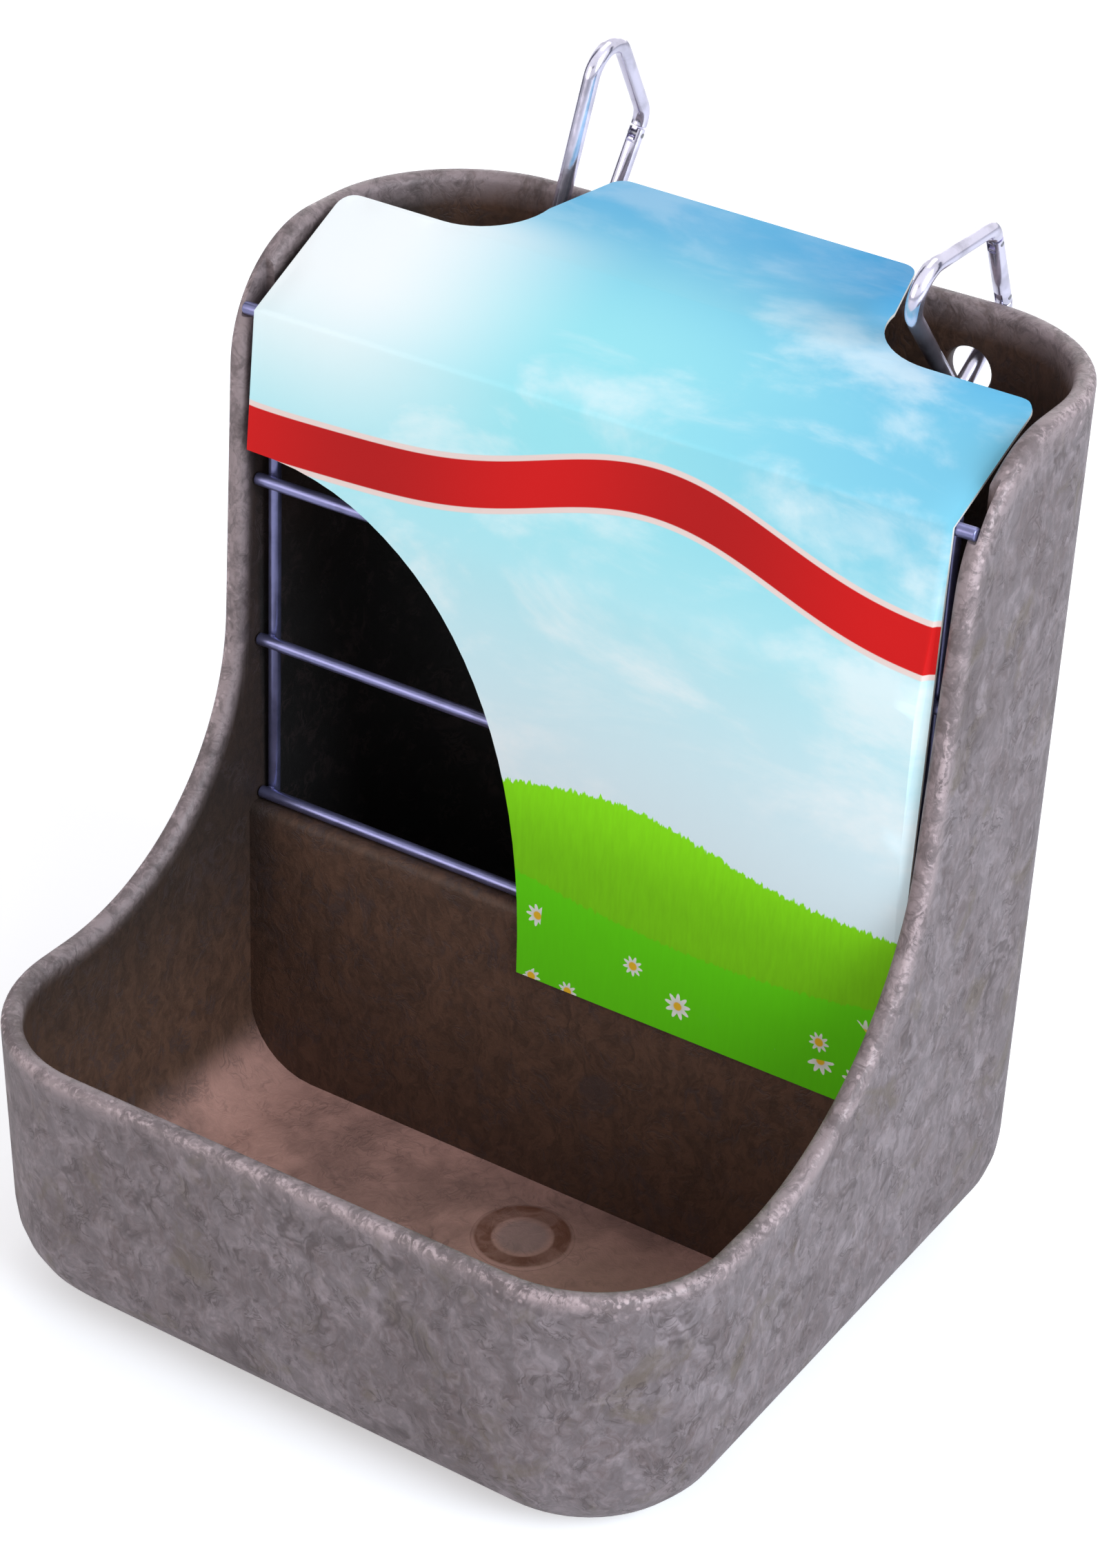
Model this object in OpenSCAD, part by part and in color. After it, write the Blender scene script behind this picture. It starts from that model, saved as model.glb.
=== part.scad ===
// Hay feeder box: a moulded bin with a food tray in front and a hay rack behind a lift-out wire guard,
// a folded display card over the guard, and two snap hooks through holes in the back wall.
// Frame: origin on the underside below the middle of the bin, front towards -Y, +Z up.

/* [Bin] */
// Outside width at the top, left to right
body_w = 178; // [160:1:220]
// Outside depth at the top, front to back
body_d = 178; // [166:1:220]
// Height of the back wall and of the side walls
body_h = 203.5; // [196:0.5:230]
// Thickness of the walls
wall = 4.5; // [3.6:0.1:5.4]
// Thickness of the floor
floor_t = 4; // [3:0.1:6]
// Draft angle of every wall, in degrees
draft = 0.9; // [0.4:0.1:1.2]
// Radius of the upright corners, at the top
corner_r = 35; // [31:1:42]
// Radius of the outer bottom edge
bottom_r = 22; // [16:1:24]

/* [Side profile] */
// Height of the low front rim
front_h = 66.4; // [58:0.2:72]
// Radius of the sweep from the front rim up to the edge of a side wall
sweep_r = 58; // [48:1:62]
// Farthest back that the sweep reaches, from the middle of the bin
sweep_y = 12; // [8:0.5:13]
// Radius of the shoulder at the top of a side wall
shoulder_r = 29; // [24:1:32]
// Where the shoulder runs into the level top, from the middle of the bin
shoulder_y = 45.5; // [43:0.5:50]

/* [Partition] */
// Height of the partition between the tray and the hay rack
partition_h = 72; // [68:0.5:80]
// Thickness of the partition along its top
partition_t = 6; // [5:0.1:8]
// Lean of each face of the partition, in degrees
partition_lean = 2.4; // [1:0.1:3]

/* [Wire guard] */
// Thickness of the wire
wire_d = 2.8; // [2.4:0.1:3.2]
// Distance of the lower wire behind the middle of the bin
guard_y = 17; // [16.5:0.1:18]
// Distance of the top wire behind the middle of the bin
guard_top_y = 20.6; // [19.8:0.1:22]
// Depth to which the wires sink into each other where they are welded
weld_sink = 0.2; // [0.1:0.05:0.3]
// Depth below the top of the ledges that carry the top wire
ledge_drop = 16.2; // [14:0.1:17]
// Depth of each notch into its side wall
notch_in = 2.5; // [2:0.1:3]
// Where each notch ends, behind the middle of the bin
notch_y = 28; // [24:0.5:30]

/* [Display card] */
// Thickness of the paperboard
card_t = 0.7; // [0.5:0.05:1]
// Height of the card's lower edge
card_bottom = 57; // [50:0.5:62]
// Height of the bend from which the card leans back to the top wire
bend_z = 152; // [140:1:160]
// Distance of that bend behind the middle of the bin
bend_y = 14.5; // [13.5:0.1:15]
// How much farther each side of the card reaches at its fold than at its lower edge
card_flare = 0.6; // [0:0.1:1.5]
// Width of the window at the lower left of the card
window_w = 73; // [50:1:90]
// Height of the window
window_h = 102.5; // [80:0.5:115]
// Power of the window's curve: 2 is an ellipse and more is squarer
window_power = 2.3; // [1.8:0.1:3]
// Back edge of the sloping flap, behind the middle of the bin
flap_y = 51; // [48:0.5:54]
// Width of the tab at its end
tab_w = 72; // [60:1:78]
// Width of the tab at its root
tab_root_w = 83; // [80:1:88]
// End of the tab, behind the middle of the bin
tab_y = 86; // [80:0.5:88]
// Height by which the tab springs up towards its end
tab_rise = 3.5; // [2:0.1:5]
// Radius of the inner corners between flap and tab
tab_fillet = 16; // [8:1:20]

/* [Snap hooks] */
// Thickness of the hook's rod
hook_rod = 3.6; // [3:0.1:4]
// Length of the spine, corner to corner
hook_h = 56.5; // [50:0.5:64]
// Distance of the nose from the spine
hook_w = 27; // [25:0.5:32]
// Length of the bottom bar, corner to corner
hook_bar = 21; // [20:0.5:23]
// Height of the nose above the bottom bar
hook_nose = 29; // [28:0.5:32]
// Bend radius at both ends of the bottom bar
bar_bend = 4; // [3.5:0.1:5]
// Bend radius at the top of the spine
crown_bend = 6.5; // [5:0.5:9]
// Bend radius at the nose
nose_bend = 5.5; // [4:0.5:6]
// Diameter of the hinge rivet and of the latch pin
pin_d = 1.2; // [0.9:0.1:1.4]
// Diameter of the holes in the back wall
hole_d = 10.4; // [10:0.1:12]
// Distance of the holes from the middle of the bin
hole_x = 50; // [48:0.5:51]
// Depth of the holes below the top
hole_drop = 15; // [14:0.5:16]
// Backward lean of the left hook, in degrees
left_lean = 9; // [0:1:9]
// Forward lean of the right hook, in degrees
right_lean = 45; // [20:1:45]
// Sideways lean of both hooks, in degrees
hook_roll = 8; // [0:0.5:8]

/* [Hidden] */
$fn = 64;

bin_color = "#75666d";
chrome_color = "#c9c8d2";
steel_color = "#a9abb3";
card_color = "#8cc7dc";

// Gap between a piece that lifts out and the seat or wall beside it
seat_gap = 0.3;
// How far a cut runs past the face that it opens
past = 1;

// Bin: half widths follow the draft, and the inner faces keep the wall's thickness
slope = tan(draft);
corner_x = body_w / 2 - corner_r;
corner_y = body_d / 2 - corner_r;
inner_bottom_r = bottom_r - wall;
ledge_z = body_h - ledge_drop;
hole_z = body_h - hole_drop;
function outer_half_w(z) = body_w / 2 - (body_h - z) * slope;
function inner_half_w(z) = outer_half_w(z) - wall;

// Side profile: the straight edge between sweep and shoulder touches both circles
sweep_c = [sweep_y - sweep_r, front_h + sweep_r];
shoulder_c = [shoulder_y, body_h - shoulder_r];
profile_span = shoulder_c - sweep_c;
edge_turn = atan2(profile_span[1], profile_span[0]) - acos((sweep_r + shoulder_r) / norm(profile_span));
edge_normal = [cos(edge_turn), sin(edge_turn)];
edge_foot = sweep_c + sweep_r * edge_normal;
edge_head = shoulder_c - shoulder_r * edge_normal;

// Partition: its top is set so that the lower wire of the guard stands over it
partition_top_y = guard_y - 1 - partition_t / 2;
function partition_front_y(z) = partition_top_y - (partition_h - z) * tan(partition_lean);
function partition_back_y(z) = partition_top_y + partition_t + (partition_h - z) * tan(partition_lean);

// Guard: four level wires, evenly spaced from the partition to the ledges
wire_r = wire_d / 2;
top_wire_z = ledge_z + seat_gap + wire_r;
lower_wire_z = partition_h + seat_gap + wire_r;
wire_step = [guard_top_y - guard_y, top_wire_z - lower_wire_z] / 3;
guard_lean = atan2(wire_step[0], wire_step[1]);
notch_x = inner_half_w(ledge_z) + notch_in;
upright_x = inner_half_w(lower_wire_z) - wire_r - 2 * seat_gap;

// Card: its panel leans from the partition to a bend and from there to the guard's top wire, and
// its flap clears that wire on the way up to the crease, behind which the tab springs up a little
card_half_w = inner_half_w(card_bottom) - 1.5 * seat_gap;
card_foot_y = partition_front_y(card_bottom) - seat_gap;
card_head_y = guard_top_y - wire_r - seat_gap;
card_lean = atan2(bend_y - card_foot_y, bend_z - card_bottom);
head_lean = atan2(card_head_y - bend_y, top_wire_z - bend_z);
crease_y = flap_y - 1;
crease_z = body_h + seat_gap;
flap_rise = crease_z - top_wire_z;
flap_reach = crease_y - guard_top_y;
flap_slope = atan2(flap_rise, flap_reach) - asin((wire_r + seat_gap) / norm([flap_reach, flap_rise]));
fold_y = (bend_y + (crease_z - crease_y * tan(flap_slope) - bend_z) * tan(head_lean))
    / (1 - tan(flap_slope) * tan(head_lean));
fold_z = crease_z - (crease_y - fold_y) * tan(flap_slope);
tab_slope = atan2(tab_rise, tab_y - crease_y);
card_corner_r = 4;
window_steps = 16;

// Hook outline in its own plane: u runs from the spine to the gate, v runs up the spine
rod_r = hook_rod / 2;
gate_foot = [hook_bar, 0];
nose = [hook_w, hook_nose];
crown = [0, hook_h];
gate_line = nose - gate_foot;
gate_l = norm(gate_line);
gate_turn = atan2(gate_line[1], gate_line[0]);
// Places along the gate's line, from the corner of the bottom bar
hinge_clear = 0.3;
foot_bend_end = bar_bend / tan((180 - gate_turn) / 2);
nose_angle = angle_between(crown - nose, gate_foot - nose);
nose_bend_end = gate_l - nose_bend / tan(nose_angle / 2);
lead = 0.3;
// The bends of the rod are a little thicker than its straight parts
bend_swell = 0.1;
foot_end = foot_bend_end + lead;
nose_end = nose_bend_end - lead;
hinge_at = foot_end + hinge_clear + rod_r;
gate_top = nose_end - 1.4 * hinge_clear;
latch_at = gate_top - 1.1 * pin_d;
// Flat tongues of the frame, which stand in the slots of the gate
tongue_t = 0.36 * hook_rod;
tongue_half_w = rod_r - 0.2;
slot_w = tongue_t + 2 * hinge_clear;
tongue_end = latch_at - pin_d / 2 - 2.9 * hinge_clear;
tongue_bore = pin_d + 0.1;
// Spring and plunger in the bore of the gate
gate_bore = 1.8;
plunger_d = 1.6;
spring_d = 1.7;
spring_wire = 0.3;
plunger_foot = hinge_at + tongue_half_w + hinge_clear;
plunger_l = 4;
spring_l = 5;
bore_end = plunger_foot + plunger_l + spring_l;
// The bar hangs in the hole a little nearer to its spine
hook_offset = 3.5;
hook_y = (body_d - wall) / 2 - hole_drop * slope;

function unit(v) = v / norm(v);
function angle_between(a, b) = acos(unit(a) * unit(b));
function direction(v) = atan2(v[1], v[0]);

// Outline of one upright wall and its bottom edge, from the middle line out
module wall_profile(reach, bottom_z, edge_r, top_z) {
    arc_c = [reach - (body_h - bottom_z - edge_r) * slope - edge_r / cos(draft), bottom_z + edge_r];
    polygon([
        [0, bottom_z],
        [arc_c[0], bottom_z],
        arc_c,
        arc_c + edge_r * [cos(draft), -sin(draft)],
        [reach + (top_z - body_h) * slope, top_z],
        [0, top_z]
    ]);
    intersection() {
        translate(arc_c) circle(r = edge_r);
        translate([arc_c[0], bottom_z]) square([2 * edge_r, edge_r]);
    }
}

// A straight stretch of tub, as wide as twice its reach
module tub_stretch(reach, bottom_z, edge_r, top_z, length) {
    rotate([90, 0, 0]) linear_extrude(length, center = true) {
        wall_profile(reach, bottom_z, edge_r, top_z);
        mirror([1, 0]) wall_profile(reach, bottom_z, edge_r, top_z);
    }
}

// A solid drafted tub with round corners; inset moves its walls in
module tub(inset, bottom_z, edge_r, top_z) {
    for (turn = [0 : 3])
        translate([(turn == 0 || turn == 3 ? 1 : -1) * corner_x, (turn < 2 ? 1 : -1) * corner_y, 0])
            rotate([0, 0, 90 * turn])
                rotate_extrude(angle = 90)
                    wall_profile(corner_r - inset, bottom_z, edge_r, top_z);
    tub_stretch(body_w / 2 - inset, bottom_z, edge_r, top_z, 2 * corner_y);
    rotate([0, 0, 90]) tub_stretch(body_d / 2 - inset, bottom_z, edge_r, top_z, 2 * corner_x);
}

// Everything in front of and above the side profile, as an outline in Y and Z
module profile_cut() {
    difference() {
        union() {
            polygon([
                [-body_d, front_h],
                [sweep_c[0], front_h],
                sweep_c,
                edge_foot,
                edge_head,
                shoulder_c,
                [shoulder_c[0], body_h + past],
                [-body_d, body_h + past]
            ]);
            translate(sweep_c) circle(r = sweep_r, $fn = 128);
        }
        translate(shoulder_c) circle(r = shoulder_r, $fn = 96);
    }
}

module along_x(length) {
    rotate([90, 0, 90]) linear_extrude(length, center = true) children();
}

module bin_body() {
    color(bin_color) difference() {
        tub(0, 0, bottom_r, body_h);
        difference() {
            tub(wall, floor_t, inner_bottom_r, body_h + past);
            along_x(body_w) polygon([
                [partition_front_y(0), 0],
                [partition_top_y, partition_h],
                [partition_top_y + partition_t, partition_h],
                [partition_back_y(0), 0]
            ]);
        }
        along_x(body_w + 2 * past) profile_cut();
        for (side = [-1, 1]) {
            translate([side * (notch_x - notch_in), (sweep_y + notch_y) / 2, (ledge_z + body_h + past) / 2])
                cube([2 * notch_in, notch_y - sweep_y, body_h + past - ledge_z], center = true);
            translate([side * hole_x, hook_y, hole_z])
                rotate([90, 0, 0]) cylinder(h = 3 * wall, d = hole_d, center = true);
        }
    }
}

module level_wire(y, z, half_l) {
    color(chrome_color) translate([0, y, z])
        rotate([0, 90, 0]) cylinder(h = 2 * half_l, d = wire_d, center = true, $fn = 32);
}

module guard_top_wire() {
    level_wire(guard_top_y, top_wire_z, notch_x - seat_gap);
}

// Level wires under the top one end just inside the side walls
module inner_wire(place) {
    z = lower_wire_z + place * wire_step[1];
    level_wire(guard_y + place * wire_step[0], z, inner_half_w(z - wire_r) - seat_gap);
}

module guard_upper_wire() {
    inner_wire(2);
}

module guard_middle_wire() {
    inner_wire(1);
}

module guard_lower_wire() {
    inner_wire(0);
}

module guard_upright(side) {
    color(chrome_color) translate([side * upright_x, guard_y, lower_wire_z])
        rotate([-guard_lean, 0, 0])
            translate([0, wire_d - weld_sink, -wire_r])
                cylinder(h = 3 * norm(wire_step) + wire_d, d = wire_d, $fn = 32);
}

// Points on an arc about a fold of the card
function fold_points(place, from, to) = [
    for (i = [0 : 4])
        let (turn = from + (to - from) * i / 4)
            place + card_t * [cos(turn), sin(turn)]
];

// The folded board seen from the side, in Y and Z
card_section = concat(
    [[card_foot_y, card_bottom], [bend_y, bend_z], [fold_y, fold_z], [crease_y, crease_z]],
    [[tab_y, crease_z + tab_rise], [tab_y, crease_z + tab_rise] + card_t * [-sin(tab_slope), cos(tab_slope)]],
    fold_points([crease_y, crease_z], 90 + tab_slope, 90 + flap_slope),
    fold_points([fold_y, fold_z], 90 + flap_slope, 180 - head_lean),
    fold_points([bend_y, bend_z], 180 - head_lean, 180 - card_lean),
    [[card_foot_y, card_bottom] + card_t * [-cos(card_lean), sin(card_lean)]]
);

// Upper edge of the window: a squared ellipse about the card's lower left corner
window_edge = [
    for (i = [0 : window_steps])
        let (turn = 90 * i / window_steps)
            [
                window_w * pow(cos(turn), 2 / window_power) - card_half_w,
                card_bottom + window_h * pow(sin(turn), 2 / window_power)
            ]
];

// What is cut from a sharp corner to round it; before and after lie on its two sides
module corner_cut(corner, before, after) {
    back = unit(before - corner);
    ahead = unit(after - corner);
    half_angle = angle_between(back, ahead) / 2;
    reach = card_corner_r / tan(half_angle);
    difference() {
        polygon([corner + reach * back, corner - past * unit(back + ahead), corner + reach * ahead]);
        translate(corner + unit(back + ahead) * card_corner_r / sin(half_angle)) circle(r = card_corner_r);
    }
}

// Cuts through the upright panel, in X and Z
module panel_cuts() {
    for (side = [0, 1])
        mirror([side, 0]) polygon([
            [card_half_w, card_bottom - past],
            [card_half_w, card_bottom],
            [card_half_w + card_flare, fold_z],
            [card_half_w + card_flare + past, fold_z],
            [card_half_w + card_flare + past, card_bottom - past]
        ]);
    polygon(concat(
        window_edge,
        [
            [-card_half_w - card_flare - past, card_bottom + window_h],
            [-card_half_w - card_flare - past, card_bottom - past],
            [window_w - card_half_w, card_bottom - past]
        ]
    ));
    corner_cut([card_half_w, card_bottom], [card_half_w + card_flare, fold_z], [0, card_bottom]);
}

// Cuts beside the tab, in X and Y
module tab_cuts() {
    flap_half = card_half_w + card_flare;
    flap_end = [flap_half, flap_y];
    root = [tab_root_w / 2, flap_y + tab_fillet];
    end = [tab_w / 2, tab_y];
    outer_x = flap_half + past;
    for (side = [0, 1])
        mirror([side, 0]) {
            polygon([root, end, [end[0], tab_y + past], [outer_x, tab_y + past], [outer_x, root[1]]]);
            translate(root + [tab_fillet, 0]) intersection() {
                circle(r = tab_fillet);
                translate([-tab_fillet, -tab_fillet]) square(tab_fillet);
            }
            translate([root[0] + tab_fillet, flap_y]) square([outer_x - root[0] - tab_fillet, tab_fillet]);
            corner_cut(flap_end, [flap_half, 0], [0, flap_y]);
            corner_cut(end, root, [0, tab_y]);
        }
}

module display_card() {
    color(card_color) difference() {
        along_x(2 * (card_half_w + card_flare)) polygon(card_section);
        rotate([90, 0, 0]) linear_extrude(body_d, center = true) panel_cuts();
        translate([0, 0, crease_z - body_h / 8]) linear_extrude(body_h / 4) tab_cuts();
    }
}

// Place of a hook: its bar lies through the hole, and lean tips it back about the hole
module in_hook(side, lean) {
    translate([side * hole_x, hook_y, hole_z])
        rotate([0, hook_roll, 0])
            rotate([90, 0, 90])
                rotate([0, 0, -lean])
                    translate([hook_offset - hook_bar / 2, 0, 0])
                        children();
}

module in_left_hook() {
    in_hook(-1, left_lean) children();
}

module in_right_hook() {
    in_hook(1, -right_lean) children();
}

// Frame of reference of the gate: X runs along it, Y points away from the spine
module along_gate(distance) {
    translate(gate_foot)
        rotate([0, 0, gate_turn])
            translate([distance, 0, 0])
                mirror([0, 1, 0])
                    children();
}

// A rod bent through a list of corners
module bent_rod(points, bends) {
    last = len(points) - 1;
    for (i = [0 : last - 1]) {
        a = points[i];
        b = points[i + 1];
        from = bend_reach(points, bends, i) - (i == 0 ? 0 : lead);
        to = norm(b - a) - bend_reach(points, bends, i + 1) + (i == last - 1 ? 0 : lead);
        translate(a) rotate([0, 0, direction(b - a)]) translate([from, 0, 0]) rotate([0, 90, 0])
            cylinder(h = to - from, d = hook_rod - bend_swell, $fn = 32);
    }
    for (i = [1 : last - 1]) {
        back = unit(points[i - 1] - points[i]);
        ahead = unit(points[i + 1] - points[i]);
        half_angle = angle_between(back, ahead) / 2;
        middle = points[i] + unit(back + ahead) * bends[i] / sin(half_angle);
        sweep = 180 - 2 * half_angle;
        translate(middle)
            rotate([0, 0, direction(-back - ahead) - sweep / 2])
                rotate_extrude(angle = sweep) translate([bends[i], 0]) circle(d = hook_rod, $fn = 32);
    }
}

// Distance from a corner to where its bend begins
function bend_reach(points, bends, i) =
    i == 0 || i == len(points) - 1
        ? 0
        : bends[i] / tan(angle_between(points[i - 1] - points[i], points[i + 1] - points[i]) / 2);

module across(length) {
    translate([0, 0, -length / 2]) linear_extrude(length) children();
}

module hook_frame() {
    gate_way = unit(gate_line);
    color(chrome_color) {
        bent_rod(
            [gate_foot + gate_way * foot_end, gate_foot, [0, 0], crown, nose, gate_foot + gate_way * nose_end],
            [0, bar_bend, bar_bend, crown_bend, nose_bend, 0]
        );
        difference() {
            across(tongue_t) tongue_outline();
            along_gate(hinge_at) cylinder(h = hook_rod, d = tongue_bore, center = true, $fn = 32);
        }
        difference() {
            along_gate(tongue_end) translate([0, -tongue_half_w, -tongue_t / 2])
                cube([nose_end + lead - tongue_end, 2 * tongue_half_w, tongue_t]);
            along_gate(latch_at) latch_notch();
        }
    }
}

module tongue_outline() {
    translate(gate_foot) rotate(gate_turn) {
        translate([foot_end - lead, -tongue_half_w]) square([hinge_at - foot_end + lead, 2 * tongue_half_w]);
        translate([hinge_at, 0]) circle(r = tongue_half_w);
    }
}

// The latch pin enters this notch from the spine's side
module latch_notch() {
    notch_r = pin_d / 2 + hinge_clear;
    cylinder(h = hook_rod, r = notch_r, center = true, $fn = 32);
    translate([-notch_r, -hook_rod, -rod_r]) cube([2 * notch_r, hook_rod, hook_rod]);
}

module hook_gate() {
    color(chrome_color) difference() {
        union() {
            along_gate(hinge_at) rotate([0, 90, 0]) cylinder(h = gate_top - hinge_at, d = hook_rod, $fn = 32);
            intersection() {
                along_gate(hinge_at - rod_r) rotate([0, 90, 0]) cylinder(h = hook_rod, d = hook_rod, $fn = 32);
                along_gate(hinge_at) cylinder(h = hook_rod, r = rod_r, center = true, $fn = 32);
            }
        }
        // Slot for the hinge tongue
        along_gate(hinge_at - hook_rod) translate([0, -hook_rod, -slot_w / 2])
            cube([hook_rod + tongue_half_w + 2 * hinge_clear, 2 * hook_rod, slot_w]);
        // Slot for the nose tongue
        along_gate(tongue_end - 1.5 * hinge_clear) translate([0, -hook_rod, -slot_w / 2])
            cube([gate_top - tongue_end + hook_rod, 2 * hook_rod, slot_w]);
        along_gate(hinge_at) cylinder(h = 2 * hook_rod, d = pin_d, center = true, $fn = 32);
        along_gate(latch_at) cylinder(h = 2 * hook_rod, d = pin_d, center = true, $fn = 32);
        along_gate(hinge_at) rotate([0, 90, 0]) cylinder(h = bore_end - hinge_at, d = gate_bore, $fn = 32);
    }
}

module hinge_rivet() {
    color(steel_color) along_gate(hinge_at) cylinder(h = hook_rod, d = pin_d, center = true, $fn = 32);
}

module latch_pin() {
    color(steel_color) along_gate(latch_at) cylinder(h = hook_rod, d = pin_d, center = true, $fn = 32);
}

module gate_plunger() {
    color(steel_color) along_gate(plunger_foot) rotate([0, 90, 0]) cylinder(h = plunger_l, d = plunger_d, $fn = 32);
}

module gate_spring() {
    color(steel_color) along_gate(plunger_foot + plunger_l) rotate([0, 90, 0]) difference() {
        cylinder(h = spring_l, d = spring_d, $fn = 32);
        translate([0, 0, -past]) cylinder(h = spring_l + 2 * past, d = spring_d - 2 * spring_wire, $fn = 32);
    }
}

bin_body();
guard_top_wire();
guard_upper_wire();
guard_middle_wire();
guard_lower_wire();
guard_upright(-1);  // guard_left_upright
guard_upright(1);  // guard_right_upright
display_card();
in_left_hook() hook_frame();  // left_hook_frame
in_left_hook() hook_gate();  // left_hook_gate
in_left_hook() hinge_rivet();  // left_hinge_rivet
in_left_hook() gate_spring();  // left_gate_spring
in_left_hook() gate_plunger();  // left_gate_plunger
in_left_hook() latch_pin();  // left_latch_pin
in_right_hook() hook_frame();  // right_hook_frame
in_right_hook() hook_gate();  // right_hook_gate
in_right_hook() hinge_rivet();  // right_hinge_rivet
in_right_hook() gate_spring();  // right_gate_spring
in_right_hook() gate_plunger();  // right_gate_plunger
in_right_hook() latch_pin();  // right_latch_pin
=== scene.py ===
"""Dresses the hay feeder box: fibre-filled bin, wire guard, printed card, snap hooks and the stage."""
from math import acos, atan2, cos, hypot, pi, radians, sin, sqrt, tan

import bmesh
import bpy
import numpy as np
from mathutils import Matrix, Vector, geometry


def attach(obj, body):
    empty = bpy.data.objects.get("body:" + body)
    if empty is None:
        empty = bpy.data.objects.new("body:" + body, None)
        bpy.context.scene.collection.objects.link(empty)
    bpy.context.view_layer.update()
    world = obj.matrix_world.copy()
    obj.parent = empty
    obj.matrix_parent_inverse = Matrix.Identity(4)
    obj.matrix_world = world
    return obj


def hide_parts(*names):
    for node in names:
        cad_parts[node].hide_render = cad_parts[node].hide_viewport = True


bl_info = {
    "name": "Hay feeder box",
    "version": (1, 0, 0),
    "blender": (4, 5, 0),
    "location": "3D View > Sidebar > Hay feeder",
    "description": "Shapes and finishes for a hay feeder with a wire guard, a display card and snap hooks",
    "category": "Add Mesh",
}

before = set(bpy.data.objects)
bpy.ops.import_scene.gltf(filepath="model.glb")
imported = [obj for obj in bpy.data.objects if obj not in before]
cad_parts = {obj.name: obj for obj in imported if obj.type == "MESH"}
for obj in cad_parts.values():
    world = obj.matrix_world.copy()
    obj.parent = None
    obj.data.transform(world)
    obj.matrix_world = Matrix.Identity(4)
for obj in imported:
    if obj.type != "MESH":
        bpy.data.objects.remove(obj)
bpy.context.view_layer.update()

MM = 0.001

# The bin, in millimetres, as its solid is made
BODY_H = 203.5
WALL = 4.5
FLOOR = 4.0
DRAFT = radians(0.9)
SLOPE = tan(DRAFT)
CORE = 54.0
CORNER_R = 35.0
BOTTOM_R = 22.0
INNER_BOTTOM_R = BOTTOM_R - WALL
# Middles of the round bottom edges, outside and inside, outwards of the core square
OUTER_MIDDLE = CORNER_R - (BODY_H - BOTTOM_R) * SLOPE - BOTTOM_R / cos(DRAFT)
INNER_MIDDLE = (CORNER_R - WALL - (BODY_H - FLOOR - INNER_BOTTOM_R) * SLOPE
                - INNER_BOTTOM_R / cos(DRAFT))
FRONT_H = 66.4
SWEEP_C = np.array([-46.0, 124.4])
SWEEP_R = 58.0
SHOULDER_C = np.array([45.5, 174.5])
SHOULDER_R = 29.0
PARTITION_H = 72.0
PARTITION_T = 6.0
PARTITION_Y = 13.0
PARTITION_LEAN = tan(radians(2.4))
PARTITION_TOP_R = 1.9
LEDGE_Z = 187.3
NOTCH_Y = (12.0, 28.0)
NOTCH_X = (81.75, 86.75)
HOLE = (50.0, 86.514, 188.5)
HOLE_R = 5.2
# Middle of the round mark that the mould's gate leaves on the tray floor, and its radius
GATE_MARK = (7.2, -7.8)
GATE_MARK_R = 11.5
# The mark's section from its edge inwards, as (inset, height), and its dimple's radii
GATE_MARK_LIFT = ((0, -1.0), (0, 0.05), (0.4, 0.3), (1.4, 0.42), (2.6, 0.36), (3.8, 0.16))
GATE_DIMPLE = ((3.0, 0.1), (0.8, 0.1))
# Half of a hole's section, from its outer end inwards, as (radius, distance from the middle)
HOLE_SECTION = ((6.4, 4.0), (6.4, 2.9), (5.35, 1.75), (HOLE_R, 1.1))

# The guard
GUARD_FOOT = np.array([17.0, 73.7])
GUARD_LEAN = radians(1.788)
UPRIGHT_X = 80.46
UPRIGHT_BACK = 2.6
UPRIGHT_L = 118.16
WIRE_STATIONS = 40
WIRE_SIDES = 24
WIRE_END = 0.0004
BEAD = (1.25, 0.75, 1.25)
LEVELS = {"lower": (17.0, 73.7, 82.14), "middle": (18.2, 112.13, 82.74), "upper": (19.4, 150.57, 83.35),
          "top": (20.6, 189.0, 86.45)}

# The card
CARD_HALF = 81.75
CARD_FLARE = 0.6
CARD_FOOT = (12.071, 57.0)
CARD_BEND = (14.5, 152.0)
CARD_FOLD = (19.039, 190.17)
CARD_CREASE = (50.0, 203.8)
CARD_END = (86.0, 207.3)
CARD_BENDS = (0, 60.0, 0.9, 1.6, 0)
WINDOW = (73.0, 102.5, 2.3)
FLAP_Y = 51.0
TAB_HALF = 36.0
TAB_ROOT_HALF = 41.5
TAB_FILLET = 16.0
CARD_CORNER = 4.0
# How much the left of flap and tab stands over the right, in mm of height per mm across
CARD_TWIST = ((19.0, 50.0, 86.0), (0.0, 0.0146, 0.0222))

# The snap hooks, outlined in their own plane: u from spine to gate, v up the spine
GATE_FOOT = np.array([21.0, 0.0])
NOSE = np.array([27.0, 29.0])
CROWN = np.array([0.0, 56.5])
BENDS = (4.0, 4.0, 6.5, 5.5)
HOOK_SHIFT = 7.0
HOOK_ROLL = radians(8.0)
ROD_SIDES = 32
ROD_END = 0.0003
HOOK_LEAN = {"left": 9.0, "right": -45.0}
FOOT_END = 3.557
HINGE_AT = 5.657
TONGUE_END = 23.17
LATCH_AT = 24.64
LATCH_R = 0.9
NOSE_END = 26.38
TONGUE_T = 1.3
TONGUE_HALF = 1.6
# How far each tongue is sunk into the rod
TONGUE_ROOT = 0.3
HOOK_AXIS = Vector((cos(HOOK_ROLL), 0, -sin(HOOK_ROLL)))
GATE_WAY = (NOSE - GATE_FOOT) / np.hypot(*(NOSE - GATE_FOOT))
GATE_SIDE = np.array([-GATE_WAY[1], GATE_WAY[0]])

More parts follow.
